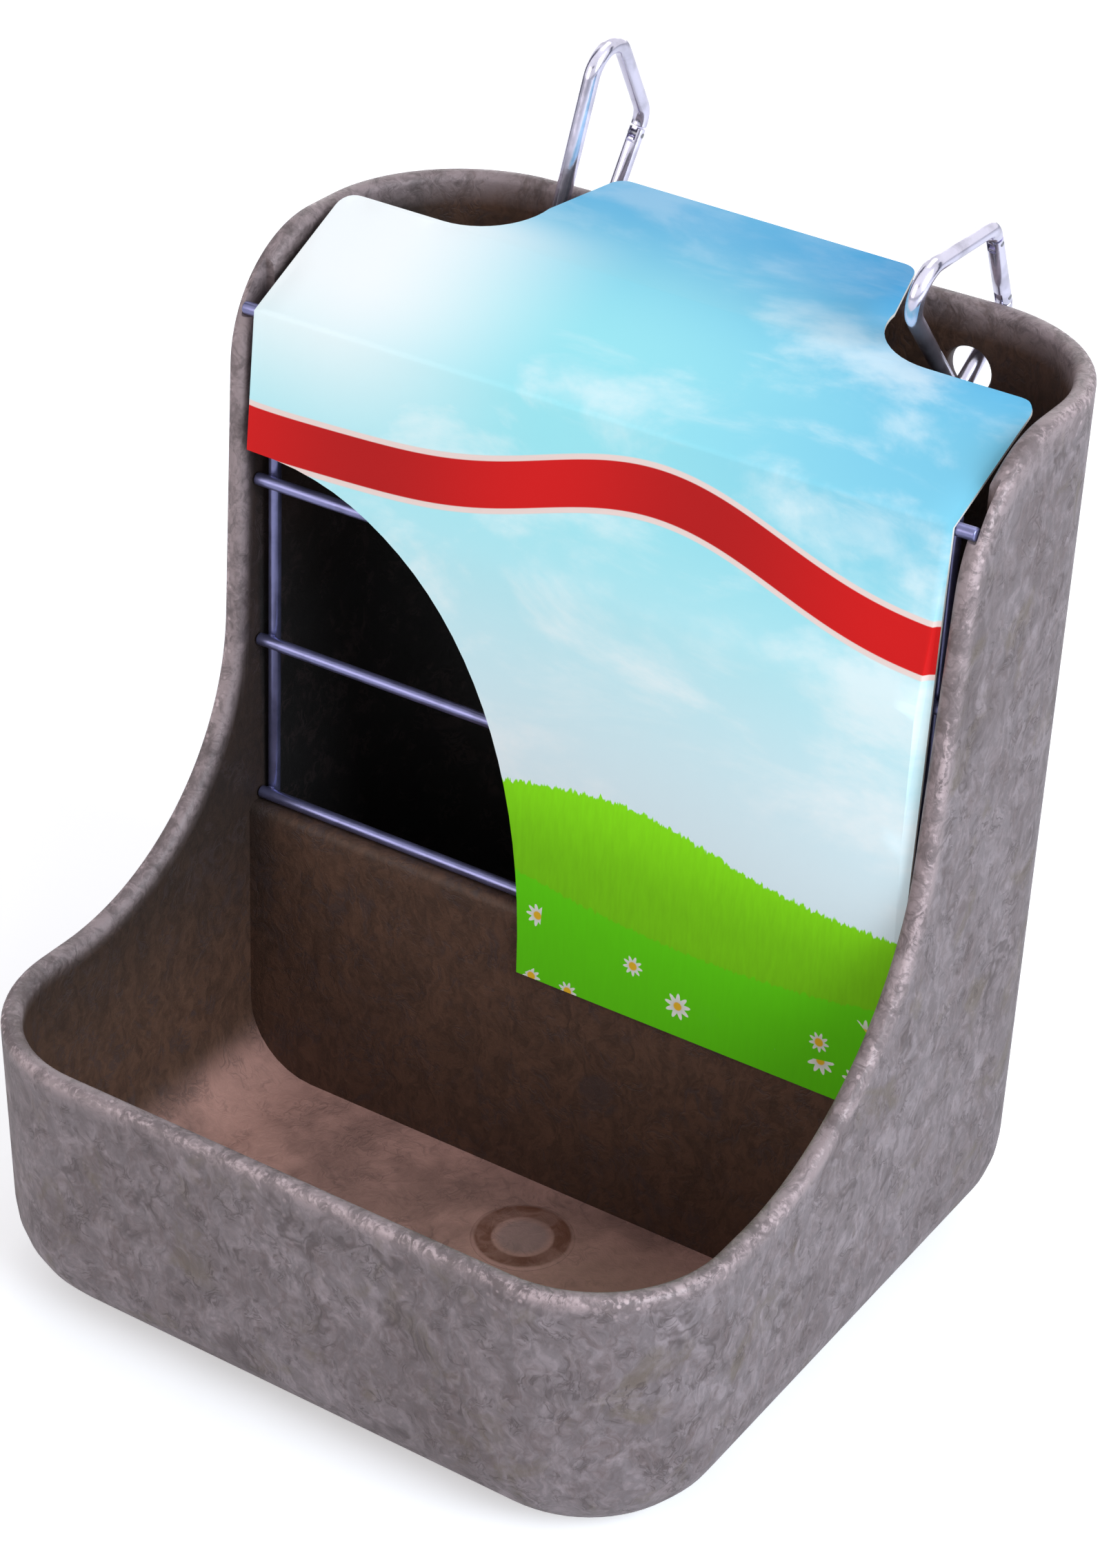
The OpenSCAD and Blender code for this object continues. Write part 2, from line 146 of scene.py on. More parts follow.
# The printed face, in mm; PRINT_UNIT is one unit of its UV map
PRINT_UNIT = 100
RIBBON_LEVEL = 113
RIBBON_HALF = 5.0
RIBBON_EDGE_HALF = 6.2
WAVE_LENGTH = 164
FAR_HILL_LEVEL = 42.5
NEAR_HILL_LEVEL = 25
DAISY_LEVEL = 21
DAISIES_PER_MM = 0.085

# The camera: place in mm, then azimuth, elevation and roll in degrees, and the lens in mm
CAMERA_PLACE = (349.30, -527.84, 501.43)
CAMERA_TURNS = (32.85, 31.49, 1.64)
LENS = 83.27

FLOOR_RADIUS = 6
# The lamps, all aimed at one point: place, size in metres, share of the power, and tint
LAMP_TARGET = (0, 0, 0.1)
LAMPS = {
    "key": ((0.95, -0.2, 0.62), (0.7, 0.7), 1.25, (0.83, 0.92, 1.0)),
    "front_fill": ((-0.5, -1.0, 0.5), (0.8, 0.6), 0.42, (1.0, 0.93, 0.89)),
    "top": ((0.0, 0.3, 1.1), (0.6, 0.6), 0.16, (1, 1, 1)),
    "rear": ((-0.5, 1.0, 0.45), (0.8, 0.6), 0.28, (1, 1, 1)),
}
# Dark flags that only reflections see, as (place, size in metres)
FLAG_TARGET = (0, 0, 0.2)
FLAGS = (
    ((-0.6, 0.1, 0.45), (0.25, 0.8)),
    ((0.15, -0.9, 0.75), (0.5, 0.12)),
    ((0.6, 0.5, 0.3), (0.15, 0.7)),
)


def srgb(red, green, blue):
    """Linear colour of a display colour given in 0 to 255"""
    parts = [c / 255 for c in (red, green, blue)]
    return tuple(c / 12.92 if c <= 0.04045 else ((c + 0.055) / 1.055) ** 2.4 for c in parts)


def colour_prop(name, description, display):
    return bpy.props.FloatVectorProperty(
        name=name, description=description, subtype="COLOR", size=3, min=0, max=1, default=srgb(*display))


def length_prop(name, description, value):
    return bpy.props.FloatProperty(name=name, description=description, subtype="DISTANCE", unit="LENGTH",
                                   default=value, min=0, precision=5)


def shade_of(colour, factor):
    """A colour made darker or lighter by a factor"""
    return [min(1.0, c * factor) for c in colour]


class FeederBinSettings(bpy.types.PropertyGroup):
    lip: length_prop("Lip radius", "Rounding of the rim", 0.0019)
    outside: colour_prop("Outside", "Fibre plastic on the outer walls", (136, 125, 128))
    outside_dark: colour_prop("Outside mottling", "Purple-brown patches of the outer walls", (98, 84, 84))
    outside_stain: colour_prop("Outside stain", "Olive-brown stains of the outer walls", (96, 84, 68))
    hair: colour_prop("Fibres", "Dark fibres in the plastic", (62, 50, 50))
    # Painted shade: the same plastic as the outer walls, darker and browner for the inner faces
    inside: colour_prop("Inside", "Fibre plastic inside the bin", (86, 60, 46))
    # Painted light: the tray floor lighter than the inner walls, as if lit from above, with a random mottle
    lit_tray_floor: colour_prop("Tray floor", "Worn floor of the tray", (180, 136, 124))
    # Painted shade: near-black colour laid on the inside of the hay rack and on the lower left inner wall
    rack_shade: colour_prop("Rack", "Stained inside of the hay rack", (26, 24, 24))
    rim: colour_prop("Rim", "Rubbed rim", (146, 130, 131))
    mark: colour_prop("Gate mark", "Glossy ring that the mould's gate leaves", (108, 62, 42))
    patch: length_prop("Patch size", "Size of the mottling", 0.011)


class FeederGuardSettings(bpy.types.PropertyGroup):
    radius: length_prop("Wire radius", "Half the thickness of the wire", 0.0014)
    plating: colour_prop("Plating", "Colour of the plated wire", (132, 133, 176))


class FeederCardSettings(bpy.types.PropertyGroup):
    thickness: length_prop("Thickness", "Thickness of the paperboard", 0.0007)
    board: colour_prop("Board", "Unprinted back and edges", (226, 222, 212))
    sky_low: colour_prop("Horizon", "Sky near the hills", (226, 243, 247))
    sky_mid: colour_prop("Sky", "Middle of the sky", (158, 230, 236))
    sky_high: colour_prop("High sky", "Sky on the tab", (8, 148, 210))
    cloud: colour_prop("Clouds", "Soft clouds", (255, 255, 252))
    ribbon: colour_prop("Ribbon", "Waved ribbon across the sky", (212, 2, 2))
    ribbon_edge: colour_prop("Ribbon edge", "Thin edges of the ribbon", (236, 214, 206))
    far_hill: colour_prop("Far hill", "Pale hill", (146, 242, 12))
    near_hill: colour_prop("Near hill", "Deeper hill", (104, 226, 2))
    petal: colour_prop("Petals", "Petals of the daisies", (246, 248, 236))
    heart_of_daisy: colour_prop("Daisy middle", "Middle of the daisies", (240, 190, 40))


class FeederHookSettings(bpy.types.PropertyGroup):
    radius: length_prop("Rod radius", "Half the thickness of the rod", 0.0018)
    plating: colour_prop("Plating", "Colour of the plated hooks", (232, 228, 248))
    steel: colour_prop("Pins", "Colour of rivets, pins, springs and plungers", (150, 150, 156))


class FeederStageSettings(bpy.types.PropertyGroup):
    backdrop: colour_prop("Backdrop", "Floor and backdrop", (255, 255, 255))
    key: bpy.props.FloatProperty(name="Lamps", description="Power that every lamp takes its share of",
                                 subtype="POWER", unit="POWER", default=9.0, min=0)


class Socket:
    """A socket of a shader, so that shader maths reads as plain expressions"""

    def __init__(self, tree, out=None):
        self.tree = tree
        self.out = out

    def node(self, kind, settings, inputs, output=0):
        """Adds a node of this type, its settings first, then its inputs; returns one of its outputs"""
        made = self.tree.nodes.new(kind)
        for key, value in settings.items():
            setattr(made, key, value)
        for key, value in inputs.items():
            socket = made.inputs[key]
            if isinstance(value, Socket):
                self.tree.links.new(value.out, socket)
            else:
                socket.default_value = (*value, 1) if socket.type == "RGBA" else value
        return Socket(self.tree, made.outputs[output]) if made.outputs else None

    def math(self, operation, *others):
        return self.node("ShaderNodeMath", {"operation": operation}, dict(enumerate((self, *others))))

    def __add__(self, other):
        return self.math("ADD", other)

    __radd__ = __add__

    def __mul__(self, other):
        return self.math("MULTIPLY", other)

    __rmul__ = __mul__

    def __sub__(self, other):
        return self.math("SUBTRACT", other)

    def __rsub__(self, other):
        return (self * -1) + other

    def __abs__(self):
        return self.math("ABSOLUTE")

    def step(self, low, high):
        """0 below low, 1 above high, smooth between; the other way round if low is the greater"""
        if low > high:
            return 1 - self.step(high, low)
        return self.node("ShaderNodeMapRange", {"interpolation_type": "SMOOTHSTEP"},
                         {"Value": self, "From Min": low, "From Max": high})

    def band(self, middle, half, soft):
        """1 within half of the middle, falling to 0 over soft"""
        return abs(self - middle).step(half + soft, half)

    def vector(self, operation, other):
        return self.node("ShaderNodeVectorMath", {"operation": operation}, {0: self, 1: other})

    def stretch(self, sizes):
        return self.vector("MULTIPLY", sizes)

    def shift(self, other):
        return self.vector("ADD", other)

    def noise(self, scale, detail=2.0, roughness=0.5, distortion=0.0, output="Fac"):
        inputs = {"Vector": self, "Scale": scale, "Detail": detail, "Roughness": roughness,
                  "Distortion": distortion}
        return self.node("ShaderNodeTexNoise", {}, inputs, output)

    def cells(self, scale, output="Distance", randomness=1.0):
        inputs = {"Vector": self, "Scale": scale, "Randomness": randomness}
        return self.node("ShaderNodeTexVoronoi", {}, inputs, output)

    def mix(self, low, high):
        """Mixes two colours by this mask"""
        return self.node("ShaderNodeMix", {"data_type": "RGBA"}, {0: self, 6: low, 7: high}, 2)

    def parts(self):
        node = self.node("ShaderNodeSeparateXYZ", {}, {0: self}).out.node
        return [Socket(self.tree, out) for out in node.outputs]

    def bump(self, strength, distance):
        return self.node("ShaderNodeBump", {}, {"Height": self, "Strength": strength, "Distance": distance})


def new_material(name):
    made = bpy.data.materials.new(name)
    made.use_nodes = True
    made.node_tree.nodes.clear()
    return made, Socket(made.node_tree)


def finish_material(sheet, surface):
    """Puts a Principled surface with these inputs on the material"""
    shader = sheet.node("ShaderNodeBsdfPrincipled", {}, surface)
    sheet.node("ShaderNodeOutputMaterial", {}, {"Surface": shader})


def object_place(sheet):
    return sheet.node("ShaderNodeTexCoord", {}, {}, "Object")


def attribute(sheet, name):
    return sheet.node("ShaderNodeAttribute", {"attribute_name": name}, {}, "Fac")


def fibre_plastic(settings):
    """Moulded plastic with wood fibre: mottled, streaked with dark fibres, rubbed lighter along the rim; worn
    polish with painted highlight on the rim's outer edge, painted shade inside, painted light on the tray
    floor
    """
    made, sheet = new_material("fibre_plastic")
    place = object_place(sheet)

    # Parts of the bin, and the pattern's masks
    inner, rim, rack_shade, floor, mark, edge = (
        attribute(sheet, name) for name in ("inner", "rim", "rack_shade", "floor", "mark", "edge"))
    _, _, facing_up = sheet.node("ShaderNodeTexCoord", {}, {}, "Normal").parts()
    # Painted light: the lighter floor colour only where the face turns up
    floor = floor * facing_up.step(0.2, 0.75)
    per_patch = 1 / settings.patch
    warp = place.shift(place.noise(70, 3, 0.6, output="Color").stretch((0.014, 0.014, 0.014)))
    clouds = place.noise(per_patch * 0.4, 3, 0.6)
    patches = warp.noise(per_patch, 5, 0.66, 0.5)
    felt = warp.stretch((1.0, 1.0, 0.6)).noise(per_patch * 3.6, 4, 0.7, 0.9)
    grain = place.noise(per_patch * 11, 3, 0.6)
    streaks = abs(warp.stretch((1.0, 1.0, 0.6)).noise(62, 3, 0.6, 1.0) - 0.5).step(0.05, 0.0)
    streak_gap = place.shift((0.7, 2.2, 5.1)).noise(75, 2, 0.5).step(0.52, 0.66)
    fibres = abs(warp.shift((3.1, 1.7, 0.4)).noise(210, 3, 0.6, 1.2) - 0.5).step(0.07, 0.0)
    fibre_gap = place.shift((4.7, 0.2, 1.1)).noise(150, 2, 0.5).step(0.48, 0.62)
    hairs = (streaks * streak_gap * 0.6).math("MAXIMUM", fibres * fibre_gap * 0.55)
    smears = warp.stretch((1.0, 1.0, 0.42)).noise(430, 3, 0.6, 0.5).step(0.36, 0.64)
    specks = place.cells(420).step(0.26, 0.12) * place.noise(60, 2, 0.5).step(0.45, 0.6)
    tone = (clouds * 0.2 + patches * 0.35 + felt * 0.45).step(0.36, 0.62)

    # Outer walls
    outer = tone.mix(settings.outside_dark[:], settings.outside[:])
    outer = (smears * 0.5).mix(outer, shade_of(settings.outside, 0.42))
    shade = place.shift((2.4, 4.4, 8.8)).noise(per_patch * 0.32, 3, 0.6).step(0.46, 0.68)
    outer = (shade * 0.4).mix(outer, shade_of(settings.outside_dark, 0.7))
    stain = place.shift((1.9, 7.3, 2.6)).noise(per_patch * 0.7, 4, 0.65, 0.6).step(0.54, 0.7)
    outer = (stain * 0.55).mix(outer, settings.outside_stain[:])
    pale_patch = place.shift((6.1, 0.3, 9.6)).noise(per_patch * 1.1, 4, 0.65, 0.5).step(0.56, 0.7)
    outer = (pale_patch * 0.35).mix(outer, shade_of(settings.outside, 1.5))

    # Inner faces, a darker and browner copy of the outer plastic as painted shade, and the tray floor,
    # lighter as painted light
    inside = tone * 0.5 + smears * 0.5
    inside = inside.mix(shade_of(settings.inside, 0.5), shade_of(settings.inside, 1.15))
    worn_floor = (tone * 0.4 + clouds.step(0.42, 0.6) * 0.6).math("MINIMUM", 1.0)
    tray = worn_floor.mix(shade_of(settings.lit_tray_floor, 0.62), shade_of(settings.lit_tray_floor, 1.2))

    # Rim, and all laid together
    rubbed = (patches * 0.5 + felt * 0.5).step(0.42, 0.56)
    rubbed = rubbed.mix(shade_of(settings.rim, 0.6), settings.rim[:])
    colour = inner.mix(outer, inside)
    colour = floor.mix(colour, tray)
    # Painted shade: the rack and the lower left inner wall darkened to near black
    colour = rack_shade.mix(colour, settings.rack_shade[:])
    worn = rim * (patches + grain * 0.5).step(0.5, 0.85)
    colour = (rim * 0.6 + worn * 0.4).mix(colour, rubbed)
    colour = (hairs * (1 - rim * 0.6) * (1 - floor * 0.6)).mix(colour, settings.hair[:])
    # Pale colour for flecks in the plastic and for the painted highlight with worn polish on the rim's outer
    # edge
    pale_fleck_and_highlight = shade_of(settings.rim, 2.0)
    # Worn polish and painted highlight: a pale line along the rim's outer edge
    polish_and_highlight = edge * (clouds * 0.3 + felt * 0.4 + grain * 0.3).step(0.49, 0.58)
    colour = (polish_and_highlight * 0.6).mix(colour, pale_fleck_and_highlight)
    colour = (specks * (0.1 + rim * 0.6) * (1 - inner)).mix(colour, pale_fleck_and_highlight)

    # The gate's mark, and the relief
    ring = mark.band(0.24, 0.13, 0.07)
    ring = ring * (0.42 + patches.step(0.4, 0.6) * 0.42)
    colour = ring.mix(colour, settings.mark[:])
    colour = (mark.step(0.42, 0.6) * 0.45).mix(colour, shade_of(settings.rim, 0.8))
    fine = place.noise(1400, 2, 0.6)
    height = patches * 0.3 + felt * 0.35 + grain * 0.25 + fine * 0.1 - hairs * 0.3 - smears * 0.15
    finish_material(sheet, {
        "Base Color": colour,
        "Roughness": 0.5 + felt * 0.2 + inner * 0.04 - worn * 0.12 - ring * 0.3 - polish_and_highlight * 0.15,
        "Normal": height.bump(0.55, 0.0006),
        "Specular IOR Level": 0.42,
    })
    return made


def plated(name, colour, polish, body):
    """Bright plating with faint waves and handling marks over a body colour"""
    made, sheet = new_material(name)
    place = object_place(sheet)
    smear = place.noise(160, 4, 0.6)
    ripple = place.noise(520, 2, 0.5)
    finish_material(sheet, {
        "Base Color": smear.step(0.3, 0.6).mix(shade_of(colour, 0.72), colour[:]),
        "Metallic": body,
        "Roughness": polish + smear.step(0.45, 0.75) * 0.12,
        "Normal": ripple.bump(0.12, 0.0002),
    })
    return made


def pin_steel(settings):
    """Turned steel with fine rings"""
    made, sheet = new_material("pin_steel")
    rings = object_place(sheet).noise(2600, 2, 0.6)
    finish_material(sheet, {
        "Base Color": rings.mix(shade_of(settings.steel, 0.7), settings.steel[:]),
        "Metallic": 1.0,
        "Roughness": 0.28 + rings * 0.2,
        "Normal": rings.bump(0.2, 0.0001),
    })
    return made


def paperboard(settings):
    """Unprinted board with soft fibre"""
    made, sheet = new_material("paperboard")
    fibre = object_place(sheet).noise(700, 5, 0.65)
    finish_material(sheet, {
        "Base Color": fibre.mix(shade_of(settings.board, 0.88), settings.board[:]),
        "Roughness": 0.82,
        "Normal": fibre.bump(0.25, 0.0002),
    })
    return made


def near_ridge(across):
    """Wave of the near hill's edge, in mm"""
    return (across * 0.03 + 3.6).math("SINE") * 5.5


def printed_board(settings):
    """Printed face: a cloudy sky, a waved ribbon, and hills with daisies"""
    made, sheet = new_material("printed_board")
    spot = sheet.node("ShaderNodeUVMap", {"uv_map": "print"}, {}).stretch((PRINT_UNIT, PRINT_UNIT, 0.0))
    across, up, _ = spot.parts()
    sky = up.step(40, 128).mix(settings.sky_low[:], settings.sky_mid[:])
    depth = up.step(148, 202) * 0.7 + across.step(-10, 84) * up.step(92, 150) * 0.44
    sky = depth.mix(sky, settings.sky_high[:])
    puffs = spot.stretch((0.55, 1.0, 1.0)).noise(0.034, 7, 0.58, 0.3).step(0.47, 0.66)
    wisps = spot.stretch((0.35, 1.0, 1.0)).shift((31.0, 7.0, 0.0)).noise(0.06, 6, 0.6, 0.6).step(0.5, 0.74)
    glow = across.step(-8, -66) * up.step(96, 150) * up.step(186, 168)
    cloud = (puffs * 0.55).math("MAXIMUM", wisps * 0.35) * (1 - up.step(158, 186) * 0.65)
    cloud = cloud.math("MAXIMUM", glow * 0.95)
    colour = cloud.mix(sky, settings.cloud[:])
    per_wave = 2 * pi / WAVE_LENGTH
    wave = ((across + 24) * per_wave).math("SINE") * 7 + (across * (2 * per_wave)).math("SINE") * 1.6
    ribbon = up - wave - RIBBON_LEVEL
    shade = ((across + 10) * (2 * per_wave)).math("COSINE") * 0.5 + 0.5
    cloth = shade.mix(shade_of(settings.ribbon, 0.72), settings.ribbon[:])
    colour = ribbon.band(0, RIBBON_EDGE_HALF, 0.3).mix(colour, settings.ribbon_edge[:])
    colour = ribbon.band(0, RIBBON_HALF, 0.25).mix(colour, cloth)
    blades = spot.stretch((1.0, 0.16, 1.0)).noise(0.9, 3, 0.6)
    far = up - (across * 0.037 + 1.2).math("SINE") * 4.5 - (across * 0.09).math("SINE") * 1.2
    far = far - blades * 5 - FAR_HILL_LEVEL
    far_tone = up.step(30, 52) * 0.6 + blades * 0.5
    far_tone = far_tone.mix(shade_of(settings.far_hill, 0.62), settings.far_hill[:])
    colour = far.step(0.25, -0.25).mix(colour, far_tone)
    near = up - near_ridge(across) - blades * 3.0 - NEAR_HILL_LEVEL
    near_tone = up.step(-6, 26) * 0.55 + blades * 0.45
    near_tone = near_tone.mix(shade_of(settings.near_hill, 0.8), settings.near_hill[:])
    colour = near.step(0.25, -0.25).mix(colour, near_tone)
    bed = spot.cells(DAISIES_PER_MM, output="Position", randomness=0.8)
    off_x, off_y, _ = spot.vector("SUBTRACT", bed).parts()
    distance = (off_x * off_x + off_y * off_y).math("SQRT")
    turn = off_y.math("ARCTAN2", off_x)
    pick, size, _ = spot.cells(DAISIES_PER_MM, output="Color", randomness=0.8).parts()
    reach = (2.3 + size * 1.1) * (0.78 + (turn * 9 + size * 6).math("COSINE") * 0.22)
    bed_x, bed_y, _ = bed.parts()
    bed_edge = bed_y - near_ridge(bed_x) - DAISY_LEVEL
    grows = pick.step(0.42, 0.44) * bed_edge.step(0.2, -0.2)
    petals = (distance - reach).step(0.15, -0.15) * grows
    petal_tone = (distance * 0.4).step(0.1, 1.2).mix(shade_of(settings.petal, 0.8), settings.petal[:])
    colour = petals.mix(colour, petal_tone)
    colour = (distance.step(1.15, 0.85) * grows).mix(colour, settings.heart_of_daisy[:])
    screen = spot.noise(6.0, 2, 0.5)
    colour = (screen * 0.04).mix(colour, [0.4, 0.4, 0.4])
    finish_material(sheet, {
        "Base Color": colour,
        "Roughness": 0.42 + screen * 0.12,
        "Specular IOR Level": 0.1,
        "Coat Weight": 0.03,
        "Coat Roughness": 0.3,
        "Normal": object_place(sheet).noise(260, 4, 0.6).bump(0.08, 0.0003),
    })
    return made


def new_object(name, data):
    """Object with this data, linked to the scene"""
    made = bpy.data.objects.new(name, data)
    bpy.context.scene.collection.objects.link(made)
    return made


def put(name, mesh, materials, body, replaced):
    """Adds a finished mesh to the scene as a piece of the feeder"""
    made = new_object(name, mesh)
    for material in materials:
        mesh.materials.append(material)
    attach(made, body)
    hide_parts(*replaced)


def plain_mesh(name, build):
    """Mesh from a bmesh, as it is"""
    mesh = bpy.data.meshes.new(name)
    build.to_mesh(mesh)
    build.free()
    return mesh


def mesh_from(name, build, sharp=40.0):
    """Mesh from a bmesh, shaded smooth but for its sharp edges"""
    bmesh.ops.recalc_face_normals(build, faces=build.faces)
    mesh = plain_mesh(name, build)
    mesh.shade_smooth()
    mesh.set_sharp_from_angle(angle=radians(sharp))
    return mesh


def cut_or_join(mesh, others):
    """Exact booleans of closed meshes, in order: each other mesh comes with UNION or DIFFERENCE"""
    base = new_object("work", mesh)
    helpers = []
    for operation, other in others:
        helper = new_object("helper", other)
        helpers.append(helper)
        modifier = base.modifiers.new("step", "BOOLEAN")
        modifier.operation = operation
        modifier.solver = "EXACT"
        modifier.object = helper
    depsgraph = bpy.context.evaluated_depsgraph_get()
    result = bpy.data.meshes.new_from_object(base.evaluated_get(depsgraph))
    for helper in helpers:
        bpy.data.objects.remove(helper)
    bpy.data.objects.remove(base)
    return result


def heading(angle):
    return np.array([cos(angle), sin(angle)])


def unit(way):
    return way / np.hypot(*way)


def wall_offset(z, depth):
    """Distance of a wall's face from the core square, depth in from the outside"""
    return CORNER_R - (BODY_H - z) * SLOPE - depth


def rim_places():
    """Points of the side profile from front to back with the direction that faces out of the wall"""
    span = SHOULDER_C - SWEEP_C
    turn = atan2(span[1], span[0]) - acos((SWEEP_R + SHOULDER_R) / np.hypot(*span))
    places = [((y, FRONT_H), (0, 1)) for y in np.linspace(-CORE, SWEEP_C[0], 5)[:-1]]
    for a in np.linspace(-pi / 2, turn, 44):
        places.append((SWEEP_C + SWEEP_R * heading(a), -heading(a)))
    foot = SWEEP_C + SWEEP_R * heading(turn)
    head = SHOULDER_C - SHOULDER_R * heading(turn)
    for t in np.linspace(0, 1, 22)[1:-1]:
        places.append((foot + t * (head - foot), -heading(turn)))
    for a in np.linspace(pi + turn, pi / 2, 30):
        places.append((SHOULDER_C + SHOULDER_R * heading(a), heading(a)))
    places += [((y, BODY_H), (0, 1)) for y in np.linspace(SHOULDER_C[0], CORE, 4)[1:]]
    return places


def bin_columns():
    """Upright columns round the bin: core point, way out, rim height and the way that the rim faces"""
    side = rim_places()
    columns = []

    def straight(a, b, way, top, count):
        for t in np.linspace(0, 1, count + 1)[:-1]:
            core = np.array(a) + t * (np.array(b) - np.array(a))
            columns.append((core, way, top, (0.0, 1.0)))

    def corner(sign_x, sign_y, start, top):
        core = np.array([sign_x * CORE, sign_y * CORE])
        for a in np.linspace(start, start + pi / 2, 19)[:-1]:
            columns.append((core, (cos(a), sin(a)), top, (0.0, 1.0)))

    straight((-CORE, -CORE), (CORE, -CORE), (0, -1), FRONT_H, 36)
    corner(1, -1, -pi / 2, FRONT_H)
    for (y, z), faces in side[:-1]:
        columns.append((np.array([CORE, y]), (1, 0), z, faces))
    corner(1, 1, 0, BODY_H)
    straight((CORE, CORE), (-CORE, CORE), (0, 1), BODY_H, 36)
    corner(-1, 1, pi / 2, BODY_H)
    for (y, z), faces in side[:0:-1]:
        columns.append((np.array([-CORE, y]), (-1, 0), z, faces))
    corner(-1, -1, pi, FRONT_H)
    return columns


def bin_shell(lip):
    """The moulded tub with its swept side walls and rounded rim"""
    rows_up = np.array([0.0, 0.06, 0.13, 0.21, 0.3, 0.4, 0.5, 0.6, 0.7, 0.79, 0.87, 0.93, 0.97])
    rings = []
    for core, way, top, faces in bin_columns():
        way = np.array(way, float)

        def point(z, off, slide=0.0):
            x_y = core + way * off + np.array([0.0, slide])
            return (x_y[0] * MM, x_y[1] * MM, z * MM)

        def lip_point(depth, drop):
            z = top - faces[1] * drop
            return point(z, wall_offset(z, depth), -faces[0] * drop)

        foot_slide = -faces[0] * lip
        z_lip = top - faces[1] * lip
        ring = []
        for a in np.linspace(-pi / 2, -DRAFT, 9):
            z = BOTTOM_R + BOTTOM_R * sin(a)
            ring.append(point(z, OUTER_MIDDLE + BOTTOM_R * cos(a), foot_slide))
        z_0 = BOTTOM_R - BOTTOM_R * sin(DRAFT)
        for t in rows_up[1:]:
            z = z_0 + t * (z_lip - z_0)
            ring.append(point(z, wall_offset(z, 0), foot_slide))
        for a in np.linspace(0, pi / 2, 7):
            ring.append(lip_point(lip - lip * cos(a), lip - lip * sin(a)))
        for a in np.linspace(0, pi / 2, 7):
            ring.append(lip_point(WALL - lip + lip * sin(a), lip - lip * cos(a)))
        z_1 = FLOOR + INNER_BOTTOM_R - INNER_BOTTOM_R * sin(DRAFT)
        for t in rows_up[:0:-1]:
            z = z_1 + t * (z_lip - z_1)
            ring.append(point(z, wall_offset(z, WALL), foot_slide))
        for a in np.linspace(-DRAFT, -pi / 2, 9):
            z = FLOOR + INNER_BOTTOM_R + INNER_BOTTOM_R * sin(a)
            ring.append(point(z, INNER_MIDDLE + INNER_BOTTOM_R * cos(a), foot_slide))
        rings.append(ring)
    build = bmesh.new()
    grid = [[build.verts.new(p) for p in ring] for ring in rings]
    count = len(grid)
    for i in range(count):
        a, b = grid[i], grid[(i + 1) % count]
        for j in range(len(a) - 1):
            build.faces.new((a[j], b[j], b[j + 1], a[j + 1]))
    build.faces.new([ring[0] for ring in grid])
    build.faces.new([ring[-1] for ring in grid])
    return mesh_from("bin_shell", build)


def partition_mesh():
    """Upright partition with a rounded top, its ends and foot sunk into the tub"""

    def half(z):
        if z >= FLOOR + INNER_BOTTOM_R:
            return CORE + wall_offset(z, WALL) + 2
        rise = FLOOR + INNER_BOTTOM_R - max(z, FLOOR)
        return CORE + INNER_MIDDLE + sqrt(INNER_BOTTOM_R ** 2 - rise ** 2) + 2

    round_r = PARTITION_TOP_R
    middle_y = PARTITION_Y + PARTITION_T / 2
    section = [(middle_y - PARTITION_T / 2 - (PARTITION_H - z) * PARTITION_LEAN, z)
               for z in np.linspace(2, PARTITION_H - round_r, 26)]
    section += [(PARTITION_Y + round_r - round_r * cos(a), PARTITION_H - round_r + round_r * sin(a))
                for a in np.linspace(0, pi / 2, 6)[1:]]
    section += [(2 * middle_y - y, z) for y, z in reversed(section)]
    build = bmesh.new()
    columns = 42
    rows = []
    for y, z in section:
        reach = half(z)
        rows.append([build.verts.new(((-1 + 2 * i / columns) * reach * MM, y * MM, z * MM))
                     for i in range(columns + 1)])
    for a, b in zip(rows, rows[1:] + rows[:1]):
        for i in range(columns):
            build.faces.new((a[i], a[i + 1], b[i + 1], b[i]))
    last = len(rows) - 1
    for end in (0, columns):
        for i in range(len(rows) // 2 - 1):
            build.faces.new((rows[i][end], rows[i + 1][end], rows[last - i - 1][end], rows[last - i][end]))
    return mesh_from("partition", build)


def box_mesh(low, high, bevel):
    """Box with rounded edges, between two corners in mm"""
    build = bmesh.new()
    bmesh.ops.create_cube(build, size=1)
    for v in build.verts:
        v.co = Vector([(low[k] + (v.co[k] + 0.5) * (high[k] - low[k])) * MM for k in range(3)])
    bmesh.ops.bevel(build, geom=build.edges[:], offset=bevel * MM, segments=3, affect="EDGES", profile=0.5)
    return mesh_from("block", build)


def lathe_mesh(profile, place, axis_turn, segments=48):
    """Solid of revolution about Z from (radius, height) pairs in mm, turned and put in place"""
    build = bmesh.new()
    turns = [2 * pi * i / segments for i in range(segments)]
    rings = [[build.verts.new((r * MM * cos(a), r * MM * sin(a), h * MM)) for a in turns]
             for r, h in profile]
    for a, b in zip(rings, rings[1:]):
        for i in range(segments):
            j = (i + 1) % segments
            build.faces.new((a[i], a[j], b[j], b[i]))
    build.faces.new(rings[0])
    build.faces.new(rings[-1])
    build.transform(Matrix.Translation(Vector(place) * MM) @ axis_turn)
    return mesh_from("turned", build)


def rim_distance(y, z):
    """Distance in mm from the side profile, for arrays of points"""
    line = np.array([(-120.0, FRONT_H)] + [p for p, _ in rim_places()] + [(120.0, BODY_H)])
    best = np.full(len(y), 1e9)
    for (ay, az), (by, bz) in zip(line, line[1:]):
        run = np.array([by - ay, bz - az])
        t = np.clip(((y - ay) * run[0] + (z - az) * run[1]) / (run @ run), 0, 1)
        best = np.minimum(best, np.hypot(y - ay - t * run[0], z - az - t * run[1]))
    return best


def ease(value, low, high):
    t = np.clip((value - low) / (high - low), 0, 1)
    return t * t * (3 - 2 * t)


